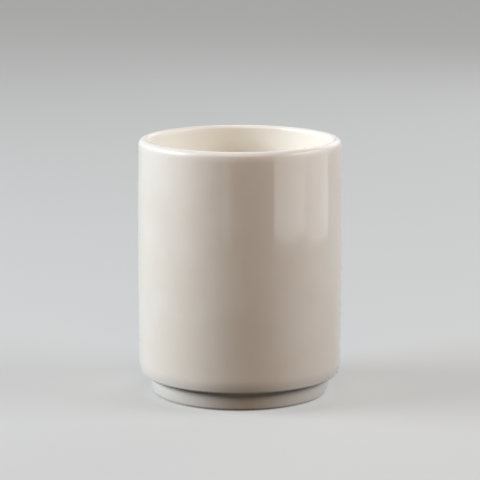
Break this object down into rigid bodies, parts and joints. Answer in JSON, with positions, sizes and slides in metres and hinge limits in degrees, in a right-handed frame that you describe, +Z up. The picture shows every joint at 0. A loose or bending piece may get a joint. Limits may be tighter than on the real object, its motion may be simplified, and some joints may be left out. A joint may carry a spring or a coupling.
{
  "type": "sake cup",
  "caption": "Straight-sided glazed porcelain sake cup with a rounded lip, a soft shoulder and a smaller stepped foot ring, for serving warm or cold sake.",
  "frame": {"origin": "centre of the standing edge, on the surface that the cup stands on", "axes": "+Z up along the cup's axis, from the standing edge to the mouth; the cup looks the same all round, so X and Y are free"},
  "size_m": [0.056, 0.056, 0.0705],
  "materials": {
    "bisque_porcelain": "fired and unglazed, dry and matt",
    "porcelain_slip": "fired joining slip, matt",
    "ivory_glaze": "gloss-fired ivory glaze"
  },
  "bodies": {
    "root": {"cup_body": "bisque_porcelain", "foot_ring": "bisque_porcelain", "luting_slip": "porcelain_slip", "liner_glaze": "ivory_glaze", "outer_glaze": "ivory_glaze", "foot_well_glaze": "ivory_glaze"}
  },
  "joints": []
}
